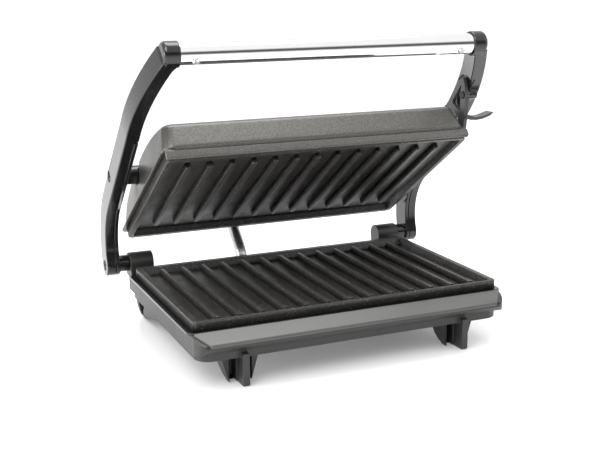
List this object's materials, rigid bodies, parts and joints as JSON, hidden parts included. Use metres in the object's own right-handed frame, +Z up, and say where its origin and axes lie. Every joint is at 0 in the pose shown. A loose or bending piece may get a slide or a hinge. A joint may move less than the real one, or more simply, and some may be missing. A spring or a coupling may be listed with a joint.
{
  "type": "panini press",
  "caption": "Open contact grill: ribbed lower and upper plates, a floating upper half on two curved arms with a tube handle, a side latch and moulded feet.",
  "frame": {"origin": "on the surface that the feet stand on, under the middle of the lower cooking plate", "axes": "+X to the user's right along the hinge axis, +Y from the user towards the hinge, +Z up"},
  "size_m": [0.2829, 0.1978, 0.2251],
  "materials": {
    "base_moulding": "satin dark grey moulding",
    "black_enamel": "black, glossy",
    "silver_trim": "satin silver-grey paint",
    "non_stick": "black speckled non-stick coating on cast aluminium",
    "heater_sheath": "heat-dulled steel tube",
    "aluminised_sheet": "mill finish sheet",
    "fibre_mat": "needled mineral fibre",
    "ceramic": "unglazed ceramic",
    "pale_plastic": "natural nylon",
    "gland_rubber": "matt black rubber",
    "zinc_steel": "zinc plated",
    "blackened_steel": "blackened steel",
    "conduit_metal": "ribbed flexible metal hose",
    "black_gloss": "polished black moulding",
    "bright_tube": "bright polished tube",
    "latch_plastic": "satin dark grey moulding",
    "grey_metallic": "warm dark grey metallic paint",
    "red_lens": "tinted lens",
    "green_lens": "tinted lens"
  },
  "bodies": {
    "base": {"base_housing": "base_moulding", "plate_frame": "black_enamel", "front_trim": "silver_trim", "lower_plate": "non_stick", "lower_heater": "heater_sheath", "lower_reflector": "aluminised_sheet", "lower_insulation": "fibre_mat", "thermostat": "ceramic", "thermal_fuse": "ceramic", "terminal_block": "pale_plastic", "supply_gland": "gland_rubber", "base_screws": "zinc_steel", "conduit_socket": "gland_rubber", "conduit": "conduit_metal"},
    "arms": {"left_arm_shell": "black_gloss", "right_arm_shell": "black_gloss", "left_arm_cover": "black_gloss", "right_arm_cover": "black_gloss", "handle_tube": "bright_tube", "handle_screws": "zinc_steel", "arm_screws": "zinc_steel", "hinge_pins": "blackened_steel", "pivot_pins": "blackened_steel", "latch_pin": "blackened_steel"},
    "upper": {"upper_cover": "grey_metallic", "upper_plate": "non_stick", "upper_heater": "heater_sheath", "upper_reflector": "aluminised_sheet", "upper_insulation": "fibre_mat", "pivot_brackets": "zinc_steel", "bracket_screws": "zinc_steel", "lamp_power": "red_lens", "lamp_ready": "green_lens", "conduit_ferrule": "gland_rubber"},
    "latch": {"latch": "latch_plastic"}
  },
  "joints": [
    {"name": "arm_hinge", "type": "hinge", "parent": "base", "child": "arms", "pos_m": [0, 0.0874, 0.0465], "axis": [1, 0, 0], "range_deg": [-45, 47.47], "deforming": ["conduit"]},
    {"name": "upper_tilt", "type": "hinge", "parent": "arms", "child": "upper", "pos_m": [0, 0.0594, 0.1215], "axis": [1, 0, 0], "range_deg": [-14, 13.5]},
    {"name": "latch_swing", "type": "hinge", "parent": "arms", "child": "latch", "pos_m": [0, -0.013, 0.176], "axis": [1, 0, 0], "range_deg": [-62, 12]}
  ],
  "couplings": [
    {"joint": "upper_tilt", "follows": "arm_hinge", "ratio": -0.288}
  ]
}
